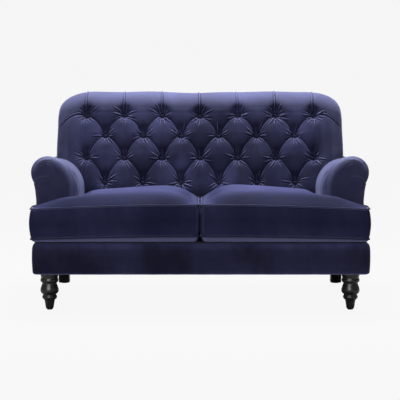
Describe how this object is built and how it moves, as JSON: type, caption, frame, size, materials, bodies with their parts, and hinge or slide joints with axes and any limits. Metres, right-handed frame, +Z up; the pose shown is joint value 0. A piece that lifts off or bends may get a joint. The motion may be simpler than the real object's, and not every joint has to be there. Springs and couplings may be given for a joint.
{
  "type": "button back sofa",
  "caption": "Compact sofa with a deep buttoned scroll back, rolled arms, loose T-shaped seat cushions and turned front legs, in navy velvet.",
  "frame": {"origin": "on the floor, in the middle of the overall width and depth", "axes": "+X to the right seen from the front, +Y towards the back, +Z up; the seat faces -Y"},
  "size_m": [1.514, 0.93, 0.942],
  "materials": {
    "velvet_cover": "navy blue cotton velvet, short dense pile",
    "velvet_cushions": "navy blue cotton velvet, short dense pile",
    "velvet_piping": "navy blue velvet over cord",
    "velvet_buttons": "navy blue velvet covered buttons",
    "leg_wood": "satin black lacquer",
    "frame_timber": "planed softwood",
    "spring_steel": "bright wire and bolts",
    "webbing": "woven elastic webbing",
    "lining_cloth": "black platform and dust cloth",
    "glide_plastic": "black nylon",
    "zip_tape": "navy zip tape with coil teeth",
    "zip_metal": "dark nickel"
  },
  "bodies": {
    "sofa": {"front_rail": "frame_timber", "rear_rail": "frame_timber", "left_side_rail": "frame_timber", "right_side_rail": "frame_timber", "centre_rail": "frame_timber", "corner_blocks": "frame_timber", "left_arm_posts": "frame_timber", "right_arm_posts": "frame_timber", "left_arm_top_rail": "frame_timber", "right_arm_top_rail": "frame_timber", "left_arm_tack_rail": "frame_timber", "right_arm_tack_rail": "frame_timber", "left_back_post": "frame_timber", "right_back_post": "frame_timber", "back_centre_post": "frame_timber", "back_top_rail": "frame_timber", "back_tack_rails": "frame_timber", "back_wings": "frame_timber", "back_webbing": "webbing", "seat_springs": "spring_steel", "spring_clips": "spring_steel", "seat_deck": "lining_cloth", "front_border": "velvet_cover", "left_arm_pad": "velvet_cover", "right_arm_pad": "velvet_cover", "left_arm_front": "velvet_cover", "right_arm_front": "velvet_cover", "left_outside_arm": "velvet_cover", "right_outside_arm": "velvet_cover", "outside_back": "velvet_cover", "back_pad": "velvet_cover", "back_buttons": "velvet_buttons", "front_left_leg": "leg_wood", "front_right_leg": "leg_wood", "rear_left_leg": "leg_wood", "rear_right_leg": "leg_wood", "leg_bolts": "spring_steel", "foot_glides": "glide_plastic", "dust_cover": "lining_cloth"},
    "left_cushion": {"left_seat_cushion": "velvet_cushions", "left_cushion_piping": "velvet_piping", "left_cushion_zip": "zip_tape"},
    "left_zip_pull": {"left_zip_slider": "zip_metal"},
    "right_cushion": {"right_seat_cushion": "velvet_cushions", "right_cushion_piping": "velvet_piping", "right_cushion_zip": "zip_tape"},
    "right_zip_pull": {"right_zip_slider": "zip_metal"}
  },
  "joints": [
    {"name": "left_cushion_lift", "type": "slide", "parent": "sofa", "child": "left_cushion", "axis": [0, 0, 1], "range_m": [0, 0.35]},
    {"name": "left_zip_slide", "type": "slide", "parent": "left_cushion", "child": "left_zip_pull", "axis": [-1, 0, 0], "range_m": [0, 0.42]},
    {"name": "right_cushion_lift", "type": "slide", "parent": "sofa", "child": "right_cushion", "axis": [0, 0, 1], "range_m": [0, 0.35]},
    {"name": "right_zip_slide", "type": "slide", "parent": "right_cushion", "child": "right_zip_pull", "axis": [1, 0, 0], "range_m": [0, 0.42]}
  ]
}
